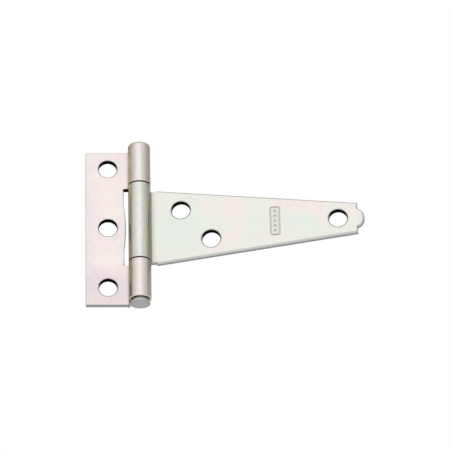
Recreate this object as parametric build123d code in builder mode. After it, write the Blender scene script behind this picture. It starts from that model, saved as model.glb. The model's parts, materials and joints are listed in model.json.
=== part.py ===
from build123d import *

import os
from math import cos, radians, sin

# T hinge, 2 inch light pattern: a screw-on cross plate, a tapering strap and the pin that joins them.
#
# Millimetres. The origin is the centre of the plate's middle screw hole on the
# mounting plane. +Z runs up the pin, +X runs from the plate towards the strap,
# and +Y points into the post and gate, so both leaves lie back on y = 0 and the
# barrel stands proud towards -Y.

# ------------------------------------------------------------ sheet and barrel
sheet = 1.5  # thickness of the steel both leaves are stamped from
barrel_r = 2.55  # outer radius of the rolled knuckles
bore_r = barrel_r - sheet  # inner radius of the roll
curl_sweep = 288.0  # how far round the pin each knuckle is rolled
pin_x = 7.15  # pin axis, measured from the plate's row of holes
pin_y = -barrel_r  # the rolled barrel is tangent to the mounting plane
rest_angle = 6.5  # the strap rests this far forward of lying flat

# ------------------------------------------------------- knuckle stack along Z
joint_gap = 0.14  # daylight between neighbouring knuckles
upper_joint = 10.10
lower_joint = -8.96
barrel_top = 20.4
barrel_bottom = -18.45
knuckle_break = 0.12  # broken edge on the knuckle ends
barrel_top_round = 0.7  # the upper end is spun over, so its edge is rounder

# ------------------------------------------------------------------------ plate
plate_top = 19.05
plate_bottom = -19.25
plate_left = -5.07  # free edge, measured from the row of holes
plate_corner_r = 0.3
notch_top = 9.78  # opening that clears the strap's knuckle
notch_bottom = -9.55
notch_depth_top = 3.57  # notch edge, measured from the pin axis
notch_depth_mid = 3.10  # the edge bows towards the barrel
notch_depth_bottom = 3.48
notch_bow_z = -0.9
plate_hole_pitch = 14.9
plate_edge_break = 0.07  # sheared side of the sheet faces the front
plate_die_roll = 0.3  # rolled-over side of the sheet faces the post

# ------------------------------------------------------------------------ strap
strap_length = 50.8  # pin axis to the point, the hinge's nominal size
root_x = 3.75
root_half = 9.17
neck_half = 8.8
shoulder_x = 49.25
shoulder_half = 3.65
nose_x = 48.4
nose_r = strap_length - nose_x
strap_die_roll = 0.42  # rolled-over side of the sheet faces the front
strap_edge_break = 0.06
strap_holes = [(9.26, 3.99), (16.06, -3.51), (44.82, 0.0)]

# ------------------------------------------------------------------ screw holes
hole_r = 2.07
plate_rim_roll = 0.28  # the front rims are rolled in by the punch
strap_rim_roll = 0.39
back_rim_break = 0.04

# ------------------------------------------- plain inspection stamp on the strap
stamp_x = 30.6
stamp_half_w = 1.15
stamp_half_h = 3.6
stamp_line = 0.32
stamp_depth = 0.12
stamp_dots = 5
stamp_dot_pitch = 1.22
stamp_dot_r = 0.34

# -------------------------------------------------------------------------- pin
pin_r = 1.0
pin_head_r = 2.33  # at the flat underside
pin_head_neck_r = 2.08  # where the head meets the barrel
pin_head_h = 1.15
pin_head_round = 0.22
pin_seat = 0.02  # hairline under the head
pin_dome_r = 1.25  # upper end, upset into the countersunk mouth of the barrel
pin_dome_h = 0.2
mouth_break = 0.3

os.makedirs("parts", exist_ok=True)

tab_x = pin_x - 2.4  # where the plate's tabs start to flare into the knuckles
relief_x = pin_x - 2.2  # the lower corner stops here, clear of the pin's head
gap_half = joint_gap / 2
upper_tab_low = upper_joint + gap_half + knuckle_break  # clear of the strap's knuckle

# Frames. The plate leaf is sketched on the mounting plane with local x along X
# and local y along Z, and extruded forwards. The strap has the same frame,
# turned about the pin and with its origin on the pin axis.
plate_leaf = Plane(origin=(0, 0, 0), x_dir=(1, 0, 0), z_dir=(0, -1, 0))
plate_front = Plane(origin=(0, -sheet, 0), x_dir=(1, 0, 0), z_dir=(0, -1, 0))
barrel_frame = Plane(origin=(pin_x, pin_y, 0), x_dir=(1, 0, 0), z_dir=(0, 0, 1))
turn = radians(rest_angle)
strap_along = Vector(cos(turn), -sin(turn), 0)
strap_back = Vector(sin(turn), cos(turn), 0)
pin_point = Vector(pin_x, pin_y, 0)
strap_barrel = Plane(origin=pin_point, x_dir=strap_along, z_dir=(0, 0, 1))
strap_leaf = Plane(
    origin=pin_point + strap_back * barrel_r, x_dir=strap_along, z_dir=-strap_back
)
strap_front = Plane(
    origin=pin_point + strap_back * bore_r, x_dir=strap_along, z_dir=-strap_back
)


# --------------------------------------------------------------------- cross plate
# A flat leaf blanked with its notch and three holes, and two knuckles rolled
# from its ends, one above and one below the strap's knuckle.
with BuildPart() as cross_plate:
    # flat leaf, blanked with the notch that clears the strap's knuckle
    with BuildSketch(plate_leaf):
        with BuildLine():
            Line((plate_left, plate_bottom), (plate_left, plate_top))
            Line((plate_left, plate_top), (tab_x, plate_top))
            Line((tab_x, plate_top), (tab_x, notch_top))
            Line((tab_x, notch_top), (pin_x - notch_depth_top, notch_top))
            Spline(
                (pin_x - notch_depth_top, notch_top),
                (pin_x - notch_depth_top, notch_top - 3.0),
                (pin_x - notch_depth_mid, notch_bow_z),
                (pin_x - notch_depth_bottom, -5.6),
                (pin_x - notch_depth_bottom, notch_bottom),
                tangents=[(0, -1), (0, -1)],
            )
            Line((pin_x - notch_depth_bottom, notch_bottom), (tab_x, notch_bottom))
            Line((tab_x, notch_bottom), (tab_x, plate_bottom))
            Line((tab_x, plate_bottom), (plate_left, plate_bottom))
        make_face()
    extrude(amount=sheet)
    free_corners = cross_plate.edges().filter_by(Axis.Y).group_by(Axis.X)[0]
    fillet(free_corners, radius=plate_corner_r)
    # the sheet is rolled over at the back of its free edges, sharp at the front
    free_edges = cross_plate.edges().filter_by(
        lambda e: e.center().X < plate_left + 0.2
        or e.center().Z > plate_top - 1e-3
        or e.center().Z < plate_bottom + 1e-3
    )
    fillet(
        free_edges.filter_by(lambda e: abs(e.center().Y) < 1e-4),
        radius=plate_die_roll,
    )
    free_edges = cross_plate.edges().filter_by(
        lambda e: e.center().X < tab_x - 0.1 and abs(e.center().Y + sheet) < 1e-4
    )
    chamfer(free_edges, length=plate_edge_break)
    # the two tabs the knuckles are rolled from, flaring to the knuckles' length
    with BuildSketch(plate_leaf):
        with BuildLine():
            Line((tab_x - 0.3, plate_top), (tab_x, plate_top))
            Spline(
                (tab_x, plate_top),
                (pin_x, barrel_top - barrel_top_round),
                tangents=[(1, 0), (1, 0)],
            )
            Line((pin_x, barrel_top - barrel_top_round), (pin_x, upper_tab_low))
            Line((pin_x, upper_tab_low), (tab_x - 0.3, upper_tab_low))
            Line((tab_x - 0.3, upper_tab_low), (tab_x - 0.3, plate_top))
        make_face()
        with BuildLine():
            Line((tab_x - 0.3, notch_bottom), (tab_x, notch_bottom))
            Spline(
                (tab_x, notch_bottom),
                (pin_x, lower_joint - gap_half - knuckle_break),
                tangents=[(1, 0), (1, 0)],
            )
            Line(
                (pin_x, lower_joint - gap_half - knuckle_break),
                (pin_x, barrel_bottom + knuckle_break),
            )
            Line((pin_x, barrel_bottom + knuckle_break), (relief_x, barrel_bottom))
            Line((relief_x, barrel_bottom), (relief_x, plate_bottom))
            Line((relief_x, plate_bottom), (tab_x - 0.3, plate_bottom))
            Line((tab_x - 0.3, plate_bottom), (tab_x - 0.3, notch_bottom))
        make_face()
    extrude(amount=sheet)
    # upper knuckle
    with BuildSketch(barrel_frame.offset(upper_joint + gap_half)):
        with BuildLine():
            outer = CenterArc((0, 0), barrel_r, 90, -curl_sweep)
            inner = CenterArc((0, 0), bore_r, 90, -curl_sweep)
            Line(outer @ 0, inner @ 0)
            Line(outer @ 1, inner @ 1)
        make_face()
    extrude(amount=barrel_top - upper_joint - gap_half)
    # lower knuckle
    with BuildSketch(barrel_frame.offset(barrel_bottom)):
        with BuildLine():
            outer = CenterArc((0, 0), barrel_r, 90, -curl_sweep)
            inner = CenterArc((0, 0), bore_r, 90, -curl_sweep)
            Line(outer @ 0, inner @ 0)
            Line(outer @ 1, inner @ 1)
        make_face()
    extrude(amount=lower_joint - gap_half - barrel_bottom)
    rims = (
        cross_plate.edges()
        .filter_by(GeomType.CIRCLE)
        .filter_by(lambda e: abs(e.radius - barrel_r) < 1e-6)
        .sort_by(Axis.Z)
    )
    fillet(rims[-1], radius=barrel_top_round)
    rims = (
        cross_plate.edges()
        .filter_by(GeomType.CIRCLE)
        .filter_by(lambda e: abs(e.radius - barrel_r) < 1e-6)
        .sort_by(Axis.Z)
    )
    chamfer(
        rims.filter_by(lambda e: e.center().Z < upper_joint + joint_gap),
        length=knuckle_break,
    )
    mouths = (
        cross_plate.edges()
        .filter_by(GeomType.CIRCLE)
        .filter_by(lambda e: abs(e.radius - bore_r) < 1e-6)
        .sort_by(Axis.Z)
    )
    chamfer(mouths[-1], length=mouth_break)

    # three screw holes in line
    with BuildSketch(plate_front):
        with GridLocations(1, plate_hole_pitch, 1, 3):
            Circle(hole_r)
    extrude(amount=-sheet, mode=Mode.SUBTRACT)
    hole_rims = (
        cross_plate.edges()
        .filter_by(GeomType.CIRCLE)
        .filter_by(lambda e: abs(e.radius - hole_r) < 1e-6)
        .group_by(Axis.Y)
    )
    fillet(hole_rims[0], radius=plate_rim_roll)
    hole_rims = (
        cross_plate.edges()
        .filter_by(GeomType.CIRCLE)
        .filter_by(lambda e: abs(e.radius - hole_r) < 1e-6)
        .group_by(Axis.Y)
    )
    chamfer(hole_rims[-1], length=back_rim_break)
cross_plate.part.label = "cross_plate"


# --------------------------------------------------------------------------- strap
# One knuckle rolled from the wide end, a neck between two relief steps, and a
# long leaf that tapers to square shoulders and a rounded point.
with BuildPart() as strap:
    # tapering leaf
    with BuildSketch(strap_leaf):
        with BuildLine():
            Line((root_x, -root_half), (root_x, root_half))
            Line((root_x, root_half), (shoulder_x, shoulder_half))
            step = (nose_r**2 - (shoulder_x - nose_x) ** 2) ** 0.5
            Line((shoulder_x, shoulder_half), (shoulder_x, step))
            ThreePointArc((shoulder_x, step), (strap_length, 0), (shoulder_x, -step))
            Line((shoulder_x, -step), (shoulder_x, -shoulder_half))
            Line((shoulder_x, -shoulder_half), (root_x, -root_half))
        make_face()
    extrude(amount=sheet)
    front_face = (
        strap.faces()
        .filter_by(GeomType.PLANE)
        .filter_by(lambda f: f.normal_at().dot(strap_back) < -0.99)
        .sort_by(SortBy.AREA)[-1]
    )
    root_mid = strap_front.from_local_coords((root_x, 0, 0))
    fillet(
        front_face.outer_wire().edges().filter_by(lambda e: (e.center() - root_mid).length > 0.5),
        radius=strap_die_roll,
    )
    back_face = (
        strap.faces()
        .filter_by(GeomType.PLANE)
        .filter_by(lambda f: f.normal_at().dot(strap_back) > 0.99)
        .sort_by(SortBy.AREA)[-1]
    )
    root_mid_back = strap_leaf.from_local_coords((root_x, 0, 0))
    chamfer(
        back_face.outer_wire().edges().filter_by(lambda e: (e.center() - root_mid_back).length > 0.5),
        length=strap_edge_break,
    )
    # neck, relieved at both sides and flaring out to the full knuckle
    with BuildSketch(strap_leaf):
        with BuildLine():
            Line((root_x + 0.3, -neck_half), (root_x + 0.3, neck_half))
            Line((root_x + 0.3, neck_half), (2.2, neck_half))
            Spline(
                (2.2, neck_half),
                (0, upper_joint - gap_half - knuckle_break),
                tangents=[(-1, 0), (-1, 0)],
            )
            Line(
                (0, upper_joint - gap_half - knuckle_break),
                (0, lower_joint + gap_half + knuckle_break),
            )
            Spline(
                (0, lower_joint + gap_half + knuckle_break),
                (2.2, -neck_half),
                tangents=[(1, 0), (1, 0)],
            )
            Line((2.2, -neck_half), (root_x + 0.3, -neck_half))
        make_face()
    extrude(amount=sheet)
    # three screw holes, the first two staggered about the centre line
    with BuildSketch(strap_front):
        with Locations(*strap_holes):
            Circle(hole_r)
    extrude(amount=-sheet, mode=Mode.SUBTRACT)
    front_rims = (
        strap.edges()
        .filter_by(GeomType.CIRCLE)
        .filter_by(lambda e: abs(e.radius - hole_r) < 1e-6)
        .filter_by(lambda e: abs((e.arc_center - pin_point).dot(strap_back) - bore_r) < 1e-3)
    )
    fillet(front_rims, radius=strap_rim_roll)
    back_rims = (
        strap.edges()
        .filter_by(GeomType.CIRCLE)
        .filter_by(lambda e: abs(e.radius - hole_r) < 1e-6)
        .filter_by(lambda e: abs((e.arc_center - pin_point).dot(strap_back) - barrel_r) < 1e-3)
    )
    chamfer(back_rims, length=back_rim_break)
    # plain stamp: a rounded outline round a row of round dimples
    with BuildSketch(strap_front):
        with Locations((stamp_x, 0)):
            RectangleRounded(2 * stamp_half_w, 2 * stamp_half_h, 0.5)
            RectangleRounded(
                2 * (stamp_half_w - stamp_line),
                2 * (stamp_half_h - stamp_line),
                0.22,
                mode=Mode.SUBTRACT,
            )
            with GridLocations(1, stamp_dot_pitch, 1, stamp_dots):
                Circle(stamp_dot_r)
    extrude(amount=-stamp_depth, mode=Mode.SUBTRACT)
    # knuckle
    with BuildSketch(strap_barrel.offset(lower_joint + gap_half)):
        with BuildLine():
            outer = CenterArc((0, 0), barrel_r, 90, curl_sweep)
            inner = CenterArc((0, 0), bore_r, 90, curl_sweep)
            Line(outer @ 0, inner @ 0)
            Line(outer @ 1, inner @ 1)
        make_face()
    extrude(amount=upper_joint - lower_joint - joint_gap)
    knuckle_rims = (
        strap.edges()
        .filter_by(GeomType.CIRCLE)
        .filter_by(lambda e: abs(e.radius - barrel_r) < 1e-6)
    )
    chamfer(knuckle_rims, length=knuckle_break)
strap.part.label = "strap"


# ------------------------------------------------------------------------ hinge pin
# Turned about its own axis: shaft, formed head below, and an upper end upset
# into the countersunk mouth of the barrel.
head_top = barrel_bottom - pin_seat
head_bottom = head_top - pin_head_h
dome_base = barrel_top - mouth_break + 0.02
with BuildPart() as hinge_pin:
    # half section, drawn from the axis outwards and turned all the way round
    with BuildSketch(Plane(origin=(pin_x, pin_y, 0), x_dir=(1, 0, 0), z_dir=(0, -1, 0))):
        with BuildLine() as section:
            Line((0, head_bottom), (pin_head_r - pin_head_round, head_bottom))
            TangentArc(
                (pin_head_r - pin_head_round, head_bottom),
                (pin_head_r, head_bottom + pin_head_round),
                tangent=(1, 0),
            )
            Line(
                (pin_head_r, head_bottom + pin_head_round),
                (pin_head_neck_r, head_top - 0.1),
            )
            Line((pin_head_neck_r, head_top - 0.1), (pin_head_neck_r - 0.1, head_top))
            Line((pin_head_neck_r - 0.1, head_top), (pin_r, head_top))
            Line((pin_r, head_top), (pin_r, dome_base))
            Line((pin_r, dome_base), (pin_dome_r, barrel_top + 0.02))
            Spline(
                (pin_dome_r, barrel_top + 0.02),
                (0, barrel_top + pin_dome_h),
                tangents=[(-0.3, 1), (-1, 0)],
            )
            Line((0, barrel_top + pin_dome_h), (0, head_bottom))
        make_face()
    revolve(axis=Axis((pin_x, pin_y, 0), (0, 0, 1)))
hinge_pin.part.label = "hinge_pin"


export_step(cross_plate.part, "parts/cross_plate.step")
export_step(strap.part, "parts/strap.step")
export_step(hinge_pin.part, "parts/hinge_pin.step")
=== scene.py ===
"""Light zinc-plated T hinge: materials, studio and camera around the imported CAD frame.

The pin stands along Z. The cross plate lies to its left (-X) and the strap reaches out
to its right (+X). The viewer is on the -Y side, so "front" means towards -Y.
"""
import json
import math
import bpy
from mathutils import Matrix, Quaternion, Vector


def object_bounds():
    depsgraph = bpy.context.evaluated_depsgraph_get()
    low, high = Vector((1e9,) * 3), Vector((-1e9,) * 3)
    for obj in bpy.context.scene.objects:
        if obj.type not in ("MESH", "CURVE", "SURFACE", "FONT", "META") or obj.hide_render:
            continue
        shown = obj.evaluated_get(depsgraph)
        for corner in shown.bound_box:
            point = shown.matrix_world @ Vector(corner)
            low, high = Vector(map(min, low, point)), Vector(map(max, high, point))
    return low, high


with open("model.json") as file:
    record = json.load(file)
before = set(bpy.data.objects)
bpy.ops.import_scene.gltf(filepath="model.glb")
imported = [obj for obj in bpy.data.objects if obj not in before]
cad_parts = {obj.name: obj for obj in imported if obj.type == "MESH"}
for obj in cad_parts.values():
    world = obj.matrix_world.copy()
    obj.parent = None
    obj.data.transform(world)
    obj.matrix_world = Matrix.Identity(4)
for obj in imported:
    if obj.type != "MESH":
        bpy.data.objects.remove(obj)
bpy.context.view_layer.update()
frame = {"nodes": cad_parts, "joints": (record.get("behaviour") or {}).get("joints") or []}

scene = bpy.context.scene
MM = 0.001

# Pin axis in metres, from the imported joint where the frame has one
PIN_X = 7.15
PIN = Vector((PIN_X, -2.55, 0.0)) * MM
for joint in frame["joints"]:
    if joint["name"] == "strap_swing":
        PIN = Vector(joint["pos_m"])

# Sizes in millimetres, measured from the pin axis
STRAP_REST = math.radians(6.5)    # the strap rests this far forward of flat
SHEET = 1.5                       # sheet thickness
FRONT = 1.05                      # front face of the sheet
BARREL_R = FRONT + SHEET
JOINTS = (10.10, -8.96)           # heights where the knuckles meet
HOLE_R = 2.07
PLATE_HOLE_PITCH = 14.9
PLATE_HOLES = [(-PIN_X, row * PLATE_HOLE_PITCH) for row in (1, 0, -1)]
STRAP_HOLES = [(9.26, 3.99), (16.06, -3.51), (44.82, 0.0)]


# ---------------------------------------------------------------- shader helpers
class Value:
    """An output socket that takes arithmetic; each operation adds a node."""

    def __init__(self, net, socket):
        self.net = net
        self.socket = socket

    def __add__(self, other):
        return self.net.math("ADD", self, other)

    def __radd__(self, other):
        return self.net.math("ADD", other, self)

    def __sub__(self, other):
        return self.net.math("SUBTRACT", self, other)

    def __rsub__(self, other):
        return self.net.math("SUBTRACT", other, self)

    def __mul__(self, other):
        return self.net.math("MULTIPLY", self, other)

    def __truediv__(self, other):
        return self.net.math("DIVIDE", self, other)

    def __abs__(self):
        return self.net.math("ABSOLUTE", self)

    def swing(self, amount):
        """A 0 to 1 noise centred on zero, times an amount."""
        return (self - 0.5) * amount

    def step(self, start, to, low=0.0, high=1.0):
        """Smooth step: low at start, high at to. It may run downwards."""
        if start > to:
            start, to, low, high = to, start, high, low
        limits = {"Value": self, "From Min": start, "From Max": to,
                  "To Min": low, "To Max": high}
        return self.net.new("ShaderNodeMapRange", limits, "Result",
                            interpolation_type="SMOOTHSTEP", clamp=True)

    def tint(self, colour):
        return self.net.mix(1.0, self, colour, "MULTIPLY")

    def shade(self, value):
        """Colour times a number."""
        return self.tint(self.net.join(value, value, value))

    def darken(self, mask, by):
        return self.shade(1.0 - mask * by)


class Net:
    """A shader node tree, cleared and built up node by node."""

    def __init__(self, tree):
        self.tree = tree
        tree.nodes.clear()

    def put(self, socket, value):
        if isinstance(value, Value):
            self.tree.links.new(value.socket, socket)
        elif value is not None:
            socket.default_value = value

    def add(self, kind, inputs=None, **props):
        node = self.tree.nodes.new(kind)
        for key, value in props.items():
            setattr(node, key, value)
        for key, value in (inputs or {}).items():
            self.put(node.inputs[key], value)
        return node

    def out(self, node, key=0):
        return Value(self, node.outputs[key])

    def new(self, kind, inputs=None, key=0, **props):
        """Add a node and give back one of its outputs."""
        return self.out(self.add(kind, inputs, **props), key)

    def math(self, operation, first, second=None):
        return self.new("ShaderNodeMath", {0: first, 1: second}, operation=operation)

    def vmath(self, operation, first, second=None):
        key = "Value" if operation in ("LENGTH", "DOT_PRODUCT") else "Vector"
        return self.new("ShaderNodeVectorMath", {0: first, 1: second}, key,
                        operation=operation)

    def ramp(self, factor, stops):
        """Colour ramp; stops are (position, colour)."""
        node = self.add("ShaderNodeValToRGB", {0: factor})
        elements = node.color_ramp.elements
        while len(elements) > 1:
            elements.remove(elements[-1])
        for i, (position, colour) in enumerate(stops):
            element = elements[0] if i == 0 else elements.new(position)
            element.position = position
            element.color = (*colour, 1.0)
        return self.out(node)

    def mix(self, factor, first, second, kind="MIX"):
        first, second = (c if isinstance(c, Value) else (*c, 1.0) for c in (first, second))
        return self.new("ShaderNodeMix", {0: factor, 6: first, 7: second}, 2,
                        data_type="RGBA", blend_type=kind, clamp_factor=True)

    def map(self, vector, scale, offset=(0, 0, 0)):
        return self.new("ShaderNodeMapping",
                        {"Vector": vector, "Scale": scale, "Location": offset})

    def xyz(self, vector):
        node = self.add("ShaderNodeSeparateXYZ", {0: vector})
        return [self.out(node, axis) for axis in range(3)]

    def join(self, x, y, z):
        return self.new("ShaderNodeCombineXYZ", {0: x, 1: y, 2: z})


class Metal(Net):
    """A metal material with millimetre coordinates from the pin axis.

    turn: angle of a leaf about the pin; coordinates and normal turn with the leaf.
    """

    def __init__(self, name, turn=None):
        self.material = bpy.data.materials.new(name)
        self.material.use_nodes = True
        super().__init__(self.material.node_tree)
        self.bsdf = self.add("ShaderNodeBsdfPrincipled", {"Metallic": 1.0})
        self.add("ShaderNodeOutputMaterial", {"Surface": self.out(self.bsdf)})

        place = self.new("ShaderNodeTexCoord", key="Object")
        self.place = self.map(self.vmath("SUBTRACT", place, tuple(PIN)), scale=(1000,) * 3)
        self.geometry = self.add("ShaderNodeNewGeometry")
        self.facet = self.out(self.geometry, "Normal")
        own_normal = self.new("ShaderNodeVectorTransform",
                              {0: self.out(self.geometry, "True Normal")},
                              vector_type="NORMAL", convert_from="WORLD",
                              convert_to="OBJECT")
        if turn is not None:
            self.place, own_normal = (
                self.new("ShaderNodeVectorRotate", {"Vector": vector, "Angle": turn},
                         rotation_type="Z_AXIS")
                for vector in (self.place, own_normal))
        self.x, self.y, self.z = self.xyz(self.place)
        self.normal = self.xyz(own_normal)
        self.radius = self.vmath("LENGTH", self.join(self.x, self.y, 0.0))

    def noise(self, scale, offset=(0, 0, 0), detail=3.0, rough=0.5, warp=0.0):
        inputs = {"Vector": self.map(self.place, scale, offset), "Scale": 1.0,
                  "Detail": detail, "Roughness": rough, "Distortion": warp}
        return self.new("ShaderNodeTexNoise", inputs, "Fac", noise_dimensions="3D")

    def open_share(self, reach, **props):
        """How open the surroundings are, within a reach in millimetres."""
        return self.new("ShaderNodeAmbientOcclusion", {"Distance": reach * MM}, "AO",
                        samples=8, **props)

    def finish(self, colour, roughness, height, strength, distance):
        """Wire the surface up; distance is the bump depth in millimetres."""
        bump = self.new("ShaderNodeBump", {"Strength": strength, "Distance": distance * MM,
                                           "Height": height})
        for key, value in (("Base Color", colour), ("Roughness", roughness),
                           ("Normal", bump)):
            self.put(self.bsdf.inputs[key], value)
        return self.material


# ------------------------------------------------------------------- sheet metal
# Passivate film, from its lilac end through pink, straw and green to blue-green
FILM = [
    (0.00, (0.925, 0.808, 0.838)),
    (0.24, (0.955, 0.845, 0.862)),
    (0.44, (0.985, 0.895, 0.842)),
    (0.58, (0.937, 0.905, 0.850)),
    (0.72, (0.890, 0.925, 0.845)),
    (0.86, (0.872, 0.925, 0.858)),
    (1.00, (0.850, 0.918, 0.872)),
]


class Sheet(Metal):
    """A leaf's net, with the masks and noises that several layers share."""

    def __init__(self, name, turn, seed):
        super().__init__(name, turn)
        self.seed = seed
        self.on_barrel = self.radius.step(BARREL_R + 0.10, to=BARREL_R + 0.03)
        self.off_barrel = self.radius.step(BARREL_R + 0.04, to=BARREL_R + 0.12)
        self.wall = abs(self.normal[1]).step(0.75, to=0.35) * self.off_barrel
        self.depth = self.y - FRONT
        self.broad = self.noise((0.30, 0.30, 0.24), (seed, 1.7 * seed, 3.1),
                                rough=0.55, warp=0.5)
        self.fine = self.noise((1.1, 1.1, 0.9), (seed + 9, seed, 7.7), rough=0.6, warp=0.3)
        self.streak = self.noise((0.5, 6.0, 5.0), (seed, 0, 0), rough=0.6)
        self.mottle = self.noise((1.3, 1.3, 1.3), (0, seed, 0), rough=0.55)
        self.pits = self.noise((6.0, 6.0, 6.0), (seed, seed, 0), detail=2.0, rough=0.6)
        self.tear = self.noise((7.0, 1.6, 7.0), rough=0.7)


def film_colour(net, base, patches, contrast):
    """Film colour in broad soft patches with wandering outlines."""
    wander_x = net.noise((0.22, 0.22, 0.22), (net.seed, 3.0, 8.0), detail=2.0)
    wander_z = net.noise((0.22, 0.22, 0.22), (5.0, net.seed, 1.0), detail=2.0)
    x = net.x + wander_x.swing(5.0)
    z = net.z + wander_z.swing(5.0)
    film = base + net.broad.swing(0.42 * contrast) + net.fine.swing(0.26 * contrast)
    for centre_x, centre_z, radius_x, radius_z, amount in patches:
        off_x = (x - centre_x) / radius_x
        off_z = (z - centre_z) / radius_z
        away = off_x * off_x + off_z * off_z
        film = film + net.math("EXPONENT", away * -1.0) * amount
    return net.ramp(film, FILM)


def texture_value(net, contrast):
    """Brightness of the rolling grain, mottle and pits; stronger on the barrel."""
    seed = net.seed
    value = (1.0 + net.mottle.swing(0.14) + net.streak.swing(0.05)
             + net.pits.swing(0.06) + net.broad.swing(0.05))
    drawn = net.noise((3.2, 3.2, 0.40), (seed, 4.0, 2.0), detail=4.0, rough=0.62, warp=0.4)
    pooled = net.noise((1.7, 1.7, 1.1), (seed, 9.0, 5.0), detail=4.0, rough=0.65, warp=0.6)
    fleck = net.noise((5.0, 5.0, 3.4), (2.0, seed, 5.0), detail=2.0, rough=0.6)
    barrel = (1.0 + drawn.swing(0.22 * contrast) + pooled.swing(0.26 * contrast)
              + fleck.swing(0.16 * contrast))
    return value * (1.0 + net.on_barrel * (barrel - 1.0))


def turn_olive(net, colour):
    """Seen edge-on the film turns olive."""
    facing = abs(net.vmath("DOT_PRODUCT", net.out(net.geometry, "Incoming"), net.facet))
    warm = net.mix(net.on_barrel, (1.0, 0.965, 0.80), (1.0, 0.950, 0.745))
    return net.mix(facing.step(0.86, to=0.42), colour, colour.tint(warm))


def sheared_edge(net, burnish, torn_value):
    """A shiny burnished band, then torn duller metal: colour and torn mask."""
    line = net.noise((1.2, 1.2, 1.2), (net.seed, 2, 2), rough=0.6)
    band = SHEET * burnish
    torn = (net.depth + line.swing(0.35)).step(band - 0.12, to=band + 0.12)
    shiny = net.mix(0.5, (0.86, 0.86, 0.84), (0.80, 0.80, 0.78))
    shiny = shiny.shade(0.9 + net.tear * 0.2)
    dull = net.mix(0.5, (0.50, 0.50, 0.50), (0.46, 0.45, 0.46))
    dull = dull.shade((0.78 + net.tear * 0.44) * torn_value)
    nick = net.noise((1.5, 9.0, 1.5), (net.seed, 6.0, 1.0), detail=4.0, rough=0.7, warp=0.8)
    return net.mix(torn, shiny, dull).shade(0.80 + nick * 0.42), torn


def arris_mask(net):
    bevel = net.new("ShaderNodeBevel", {"Radius": 0.28 * MM}, samples=8)
    sharp = 1.0 - net.vmath("DOT_PRODUCT", bevel, net.facet)
    return sharp.step(0.004, to=0.16) * net.off_barrel


def stamp_mask(net, centre_x, half_width, half_height):
    return (abs(net.x - centre_x).step(half_width + 0.06, to=half_width - 0.10)
            * abs(net.z).step(half_height + 0.06, to=half_height - 0.10)
            * net.depth.step(0.6, to=0.4))


def draw_notch(net, colour, bottom, top, middle, end):
    """Darken a band along the opening's free edge beside the strap's knuckle; find its unlit
    upper wall, which is painted black.
    """
    height = net.z / ((top - bottom) / 2)
    edge = net.x + (middle + height * height * (end - middle))
    along = (net.z.step(bottom - 0.05, to=bottom + 0.15)
             * net.z.step(top + 0.05, to=top - 0.15))
    drawn = edge.step(-0.42, to=-0.06) * along * net.off_barrel
    unlit = (abs(net.z - top).step(0.16, to=0.06) * net.normal[2].step(-0.5, to=-0.8)
             * net.x.step(-4.4, to=-4.1) * net.off_barrel)
    return colour.darken(drawn, by=0.42), unlit


def nearest_hole(net, holes):
    """Distance to the nearest hole axis, and the direction from it in x and z."""
    nearest = None
    for hole_x, hole_z in holes:
        off_x, off_z = net.x - hole_x, net.z - hole_z
        reach = net.vmath("LENGTH", net.join(off_x, 0.0, off_z))
        up = off_z / net.math("MAXIMUM", reach, 0.01)
        right = off_x / net.math("MAXIMUM", reach, 0.01)
        if nearest is None:
            nearest, nearest_right, nearest_up = reach, right, up
            continue
        closer = net.math("LESS_THAN", reach, nearest)
        nearest_up = closer * up + (1.0 - closer) * nearest_up
        nearest_right = closer * right + (1.0 - closer) * nearest_right
        nearest = net.math("MINIMUM", nearest, reach)
    return nearest, nearest_right, nearest_up


def punch_holes(net, colour, holes):
    """Painted shade on the rolled-in rims and in the bores: colour, lit left wall and painted
    black shadow masks.
    """
    reach, right, up = nearest_hole(net, holes)
    top = up.step(0.02, to=0.45)
    bore = reach.step(HOLE_R + 0.20, to=HOLE_R + 0.06)
    rim = reach.step(HOLE_R + 0.46, to=HOLE_R + 0.16)
    lit_left_wall = bore * right.step(-0.45, to=-0.80)
    shaded_right_wall = bore * right.step(0.45, to=0.80)
    # painted shade: rims darkened, the bores' lower and side walls darker, the right wall
    # darkest, the left wall kept lit
    colour = colour.darken(rim, by=0.16)
    colour = colour.darken(bore * (1.0 - top), by=0.30 - lit_left_wall * 0.30)
    colour = colour.darken(shaded_right_wall, by=0.38)
    # painted black shadow on the upper wall, standing for the dark ground it would mirror,
    # shown only to an eye below it
    eye_z = net.xyz(net.out(net.geometry, "Incoming"))[2]
    return colour, lit_left_wall, bore * top * eye_z.step(0.08, to=-0.22)


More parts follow.
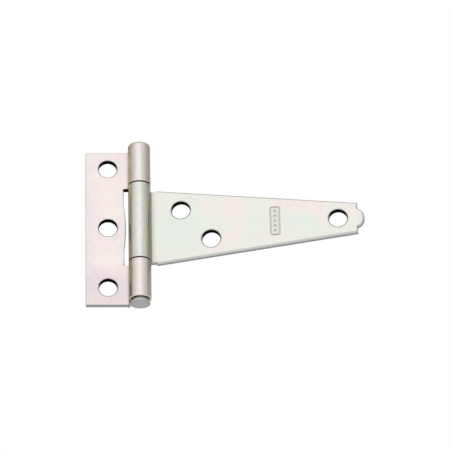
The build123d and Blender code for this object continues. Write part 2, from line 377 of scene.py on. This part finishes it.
def sheet_metal(name, turn, holes, film_base, patches, seed, knuckle, burnish, stamp=None,
                tint=(1.0, 1.0, 1.0), torn_value=1.0, ao_reach=1.6, ao_low=0.52,
                arris_shade=0.42, foot=None, notch=None, nose=None, film_contrast=1.0,
                barrel_contrast=1.0, glossy_top=0.55, dull_top=None):
    """Zinc plate and a thin passivate film over rolled, sheared and punched steel.

    Places are (x, z) in the leaf's own frame, millimetres from the pin.
    film_base, patches: film thickness; patches are centre x, z, radius x, z, amount
    knuckle: colour of the rolled barrel; tint: shade of the whole leaf
    burnish: share of a sheared edge, from the front, that the shear left shiny
    stamp: centre x, half width, half height
    torn_value: brightness of the torn edge; arris_shade: painted shade along the arrises
    ao_reach, ao_low: reach and darkest value of the shading where faces meet
    foot: start z, full z and tint of the darker lower end
    notch: bottom z, top z, distance of its edge from the pin at the middle and ends
    nose: start x, full x and darkening of the end turned from the light
    glossy_top: how much the leaf's upper end is dimmed where it is mirrored
    dull_top: added roughness on the left side of the upper knuckle
    """
    net = Sheet(name, turn, seed)
    x, z, on_barrel, wall = net.x, net.z, net.on_barrel, net.wall

    colour = film_colour(net, film_base, patches, film_contrast).tint(tint)
    if foot is not None:
        start, full, foot_tint = foot
        # darker and bluer towards the bottom
        colour = net.mix(z.step(start, to=full), colour, colour.tint(foot_tint))
    greener = tuple(c * f for c, f in zip(knuckle, (0.985, 1.01, 0.985)))
    rolled = net.mix((net.fine - 0.3) * 1.2, knuckle, greener)
    colour = net.mix(on_barrel, colour, rolled).shade(texture_value(net, barrel_contrast))
    colour = turn_olive(net, colour)

    edge_colour, torn = sheared_edge(net, burnish, torn_value)
    colour = net.mix(wall, colour, edge_colour)

    # painted shade along the arrises, weaker inside the stamp
    arris = arris_mask(net)
    if stamp is not None:
        inside = stamp_mask(net, *stamp)
        arris = arris * (1.0 - inside * 0.55)
    colour = colour.darken(arris, by=arris_shade)

    unlit = None
    if notch is not None:
        colour, unlit = draw_notch(net, colour, *notch)
    if nose is not None:
        start, full, darkening = nose
        colour = colour.darken(x.step(start, to=full), by=darkening)
    colour, lit_left_wall, painted_black_shadow = punch_holes(net, colour, holes)
    if unlit is not None:
        painted_black_shadow = net.math("MAXIMUM", unlit, painted_black_shadow)

    # stamp: dulled floor, and painted shade in the grooves
    if stamp is not None:
        groove_shade = inside * net.depth.step(0.02, to=0.09)
        scuff = net.noise((2.2, 1.0, 3.4), detail=2.0)
        colour = colour.darken(inside, by=0.02 + scuff * 0.10)
        colour = colour.darken(groove_shade, by=0.05)

    # dark knuckle joints; painted shade where faces meet, sparing the lit left walls of the
    # holes
    for joint_z in JOINTS:
        gap = (abs(z - joint_z).step(0.21, to=0.12)
               * net.radius.step(BARREL_R + 0.4, to=BARREL_R + 0.2))
        colour = net.mix(gap * 0.97, colour, (0.02, 0.019, 0.017))
    corner_shade = net.open_share(ao_reach).step(0.35, to=0.98, low=ao_low)
    colour = colour.shade(net.math("MAXIMUM", corner_shade, lit_left_wall))
    # painted black shadow on the holes' upper walls and the notch's upper wall
    colour = net.mix(painted_black_shadow, colour, (0.003, 0.003, 0.003))

    # painted shade: the hinge seen in its own reflections is darkened, as those surfaces are
    # turned from the light
    mirrored = net.new("ShaderNodeLightPath", key="Is Glossy Ray")
    colour = colour.darken(mirrored, by=z.step(9.0, to=13.0, low=0.55, high=glossy_top))

    roughness = (0.20 + net.mottle.swing(0.14) + wall * 0.16 + wall * torn * 0.10
                 + arris * 0.08)
    if dull_top is not None:
        # the upper knuckle's plating is more matt on its left side
        roughness = roughness + (on_barrel * z.step(JOINTS[0] - 0.1, to=JOINTS[0] + 0.3)
                                 * x.step(-0.7, to=-1.8) * dull_top)
    # the painted black shadow is also made non-metallic
    net.put(net.bsdf.inputs["Metallic"], 1.0 - painted_black_shadow)
    net.put(net.bsdf.inputs["Specular IOR Level"], 0.0)
    ripple = net.noise((0.5, 0.5, 0.9), detail=2.0)
    height = (net.streak * 0.35 + net.pits * 0.30 + ripple * 2.2
              + net.tear * (wall * 1.6))
    return net.finish(colour, roughness, height, strength=0.18, distance=0.02)


def pin_material():
    """Cold-headed wire, plated duller than the sheet."""
    net = Metal("zinc_pin")
    face = net.normal[2].step(-0.75, to=-0.95)        # underside of the head
    rings = net.math("SINE", net.radius * 13.0)
    mottle = net.noise((1.5, 1.5, 1.5), (3.1, 0.4, 0.0), detail=4.0, rough=0.7, warp=1.1)
    pits = net.noise((6, 6, 6), detail=2.0, rough=0.6)
    value = 0.98 + mottle.swing(0.78) + rings * 0.015 + pits.swing(0.26)
    colour = net.mix(face, (0.86, 0.83, 0.83), (0.60, 0.585, 0.585))
    rim = net.radius.step(1.86, to=2.16)
    colour = net.mix(face * rim * 0.62, colour, (0.33, 0.32, 0.32))
    # painted shadow where the head meets the barrel, lighter at the front
    head_root_shadow = net.z.step(-19.05, to=-18.60)
    off_front = 1.0 - abs(net.x - 0.15).step(1.3, to=0.3) * net.y.step(0.2, to=-0.4)
    colour = net.mix(head_root_shadow * (0.25 + off_front * 0.60), colour, (0.16, 0.15, 0.145))
    # painted shade in the pin's own corners
    corner_shade = net.open_share(0.8, only_local=True).step(0.2, to=0.9, low=0.25)
    return net.finish(colour.shade(value).shade(corner_shade), 0.26 + mottle * 0.14,
                      mottle * 1.2 + rings * 0.10, strength=0.30, distance=0.03)


# Film patches: centre x, centre z, radius x, radius z, added thickness
PLATE_PATCHES = [
    (-6.0, 10.5, 2.6, 3.2, 0.20), (-9.5, 12.2, 1.4, 1.8, 0.18), (-6.9, -7.6, 2.4, 2.4, 0.27),
    (-6.3, 3.3, 1.6, 1.3, 0.22), (-11.0, -17.6, 2.2, 1.5, 0.24), (-7.0, -19.0, 5.0, 0.8, 0.22),
    # the long strip at x -12.2 darkens the plate along its left edge
    (-12.2, 0.0, 1.5, 30.0, -0.20), (-4.2, 17.6, 1.4, 1.2, -0.22),
]
STRAP_PATCHES = [
    (9.0, -1.0, 5.0, 4.8, 0.24), (25.4, 0.6, 1.9, 2.3, 0.20), (36.6, -0.3, 3.4, 2.0, 0.28),
    (15.5, 5.2, 2.6, 1.8, -0.20), (21.6, 3.9, 3.6, 2.0, -0.26), (22.3, -1.6, 1.7, 3.2, -0.26),
    (17.4, -5.6, 2.2, 1.5, -0.22), (35.0, 4.3, 5.5, 1.2, -0.30), (41.4, 2.2, 2.2, 2.4, -0.34),
    (47.4, 0.8, 1.8, 2.2, -0.28), (30.6, -4.2, 2.5, 1.2, -0.14),
]

materials = {
    "cross_plate": sheet_metal(
        "zinc_plate", turn=0.0, holes=PLATE_HOLES, film_base=0.28, patches=PLATE_PATCHES,
        seed=4.3, knuckle=(0.985, 0.905, 0.862), burnish=0.0, tint=(1.032, 1.024, 1.016),
        torn_value=1.28, ao_reach=1.0, ao_low=0.66, arris_shade=0.72,
        foot=(-8.5, -14.5, (0.905, 0.885, 0.925)), notch=(-9.55, 9.78, 3.10, 3.53),
        film_contrast=1.35, barrel_contrast=0.8, glossy_top=0.08, dull_top=0.34),
    "strap": sheet_metal(
        "zinc_strap", turn=STRAP_REST, holes=STRAP_HOLES, film_base=0.66,
        patches=STRAP_PATCHES, seed=11.9, knuckle=(0.905, 0.900, 0.838), burnish=0.41,
        stamp=(30.6, 1.15, 3.6), torn_value=0.90, nose=(49.8, 50.5, 0.17)),
    "hinge_pin": pin_material(),
}
for node_name, material in materials.items():
    slots = frame["nodes"][node_name].data.materials
    slots.clear()
    slots.append(material)


# ------------------------------------------------------------------------- world
# Brightness round the horizon: azimuth in degrees, 0 towards the viewer (-Y) and
# positive to the right. A soft source in front, grey at the sides, paler behind.
HORIZON = [
    (-180, 0.60), (-158, 0.50), (-140, 0.25), (-122, 0.13), (-100, 0.19), (-86, 0.42),
    (-70, 0.60), (-48, 0.71), (-28, 0.84), (-12, 0.945), (4, 0.93), (14, 0.86),
    (30, 0.69), (58, 0.56), (76, 0.42), (98, 0.36), (116, 0.32), (140, 0.42), (180, 0.60),
]
OVERHEAD = (0.46,) * 3
BELOW = (0.66,) * 3
WHITE = (1, 1, 1, 1)


def build_world():
    """Camera rays see plain white; everything else sees the studio."""
    world = bpy.data.worlds.new("studio")
    scene.world = world
    world.use_nodes = True
    net = Net(world.node_tree)
    x, y, z = net.xyz(net.new("ShaderNodeTexCoord", key="Generated"))
    turn = net.math("ARCTAN2", x, y * -1.0) / (2 * math.pi) + 0.5
    stops = [((azimuth + 180.0) / 360.0, (value,) * 3) for azimuth, value in HORIZON]
    studio = net.mix(z.step(0.62, to=0.86), net.ramp(turn, stops), OVERHEAD)
    studio = net.mix(z.step(0.10, to=-0.30), studio, BELOW)
    seen, plain = (net.new("ShaderNodeBackground", {"Color": colour, "Strength": 1.0})
                   for colour in (studio, WHITE))
    is_camera = net.new("ShaderNodeLightPath", key="Is Camera Ray")
    surface = net.new("ShaderNodeMixShader", {0: is_camera, 1: seen, 2: plain})
    net.add("ShaderNodeOutputWorld", {"Surface": surface})


build_world()


# ------------------------------------------------------------------------- floor
def floor_material():
    """Pale near the hinge, white further out, clear from below."""
    material = bpy.data.materials.new("floor_pale")
    material.use_nodes = True
    net = Net(material.node_tree)
    matt = net.new("ShaderNodeBsdfDiffuse", {"Color": (0.86, 0.86, 0.86, 1)})
    glow, white = (net.new("ShaderNodeEmission", {"Color": WHITE, "Strength": strength})
                   for strength in (0.36, 1.0))
    near = net.new("ShaderNodeAddShader", {0: matt, 1: glow})
    reach = net.vmath("LENGTH", net.new("ShaderNodeTexCoord", key="Object"))
    top = net.new("ShaderNodeMixShader", {0: reach.step(0.10, to=0.75), 1: near, 2: white})
    backfacing = net.new("ShaderNodeNewGeometry", key="Backfacing")
    clear = net.new("ShaderNodeBsdfTransparent")
    surface = net.new("ShaderNodeMixShader", {0: backfacing, 1: top, 2: clear})
    net.add("ShaderNodeOutputMaterial", {"Surface": surface})
    return material


FLOOR_R, FLOOR_GAP = 2.2, 0.0004      # metres; the gap is below the hinge
lo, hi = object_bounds()
centre = (lo + hi) / 2
bpy.ops.mesh.primitive_circle_add(vertices=96, radius=FLOOR_R, fill_type="NGON",
                                  location=(centre.x, centre.y, lo.z - FLOOR_GAP))
floor = bpy.context.object
floor.name = "floor"
floor.data.materials.append(floor_material())
floor.visible_glossy = False


# ------------------------------------------------------------------ key light
KEY_PLACE = Vector((-0.25, -0.55, 0.62))      # metres: left, in front and above
key_data = bpy.data.lights.new("key_soft", "AREA")
key_data.shape = "DISK"
key_data.size = 0.5
key_data.energy = 1.2
key = bpy.data.objects.new("key_soft", key_data)
scene.collection.objects.link(key)
key.location = KEY_PLACE
key.rotation_mode = "QUATERNION"
key.rotation_quaternion = (centre - KEY_PLACE).to_track_quat("-Z", "Y")
key.visible_camera = False
key.visible_glossy = False


# ------------------------------------------------------------------------ camera
YAW, ELEVATION, ROLL = (math.radians(angle) for angle in (-2.794, -26.267, -1.236))
DISTANCE = 0.7565                             # metres from the target
TARGET = PIN + Vector((19.4, 0.0, 0.0)) * MM
back = Vector((math.sin(YAW) * math.cos(ELEVATION),
               -math.cos(YAW) * math.cos(ELEVATION), math.sin(ELEVATION)))
camera_data = bpy.data.cameras.new("camera")
camera = bpy.data.objects.new("camera", camera_data)
scene.collection.objects.link(camera)
camera.location = TARGET + back * DISTANCE
camera.rotation_mode = "QUATERNION"
camera.rotation_quaternion = ((-back).to_track_quat("-Z", "Y")
                              @ Quaternion((0, 0, 1), ROLL))
camera_data.sensor_width = 36.0
camera_data.lens = 267.43788
camera_data.shift_x = -0.00088888889
camera_data.shift_y = 0.0015555556
camera_data.clip_start = 0.01
camera_data.clip_end = 20.0
scene.camera = camera

scene.view_settings.view_transform = "Standard"
scene.view_settings.look = "None"
scene.view_settings.exposure = 0.0
scene.view_settings.gamma = 1.0
